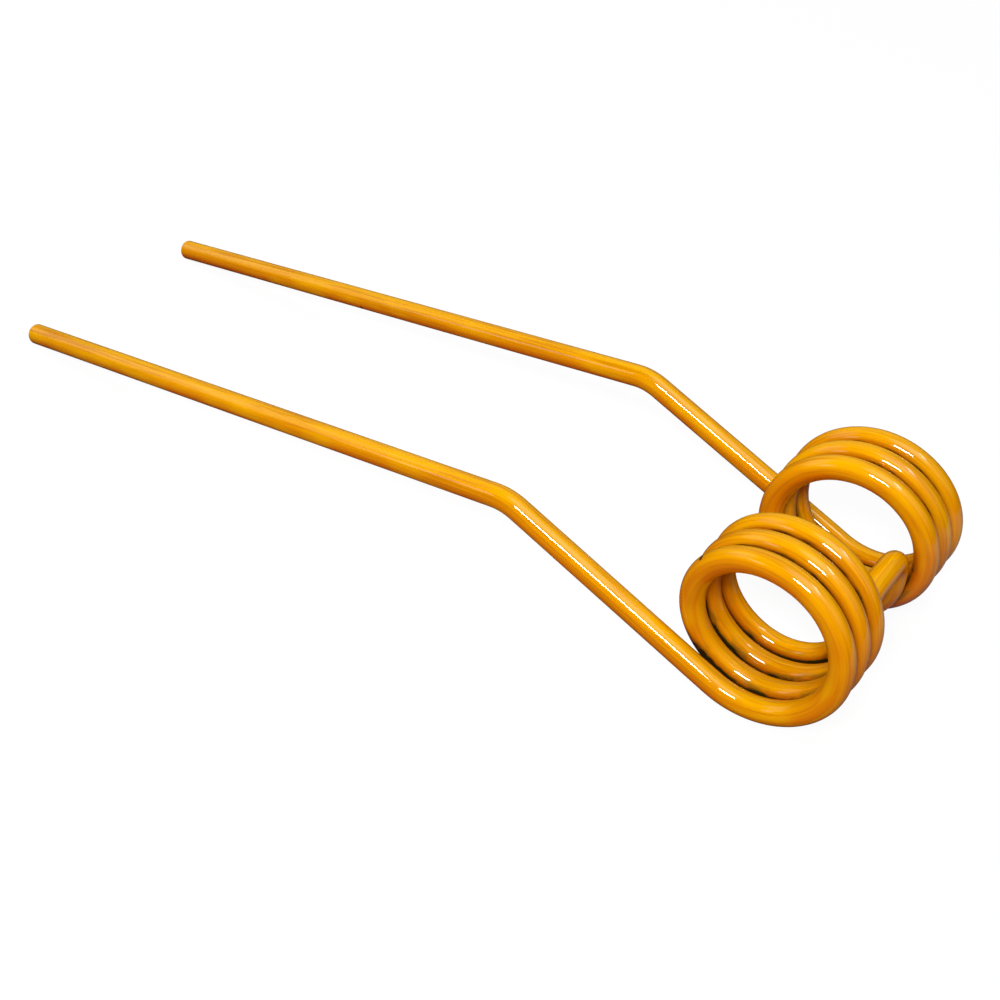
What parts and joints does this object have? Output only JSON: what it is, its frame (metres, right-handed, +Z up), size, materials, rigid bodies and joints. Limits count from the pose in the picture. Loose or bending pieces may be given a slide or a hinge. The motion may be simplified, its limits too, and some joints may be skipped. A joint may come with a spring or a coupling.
{
  "type": "tedder tine",
  "caption": "Double-coil spring tine of round steel wire: side-by-side coils joined by a short bridge, with long kinked arms that comb hay.",
  "frame": {"origin": "bottom centre of the box around the whole tine, on the flat surface that it lies on", "axes": "+Z up from the surface, +Y along the coil axis towards the longer arm, +X from the tips towards the coils"},
  "size_m": [0.3976, 0.1062, 0.0665],
  "materials": {
    "paint": "gloss"
  },
  "bodies": {
    "root": {"tine": "paint"}
  },
  "joints": []
}
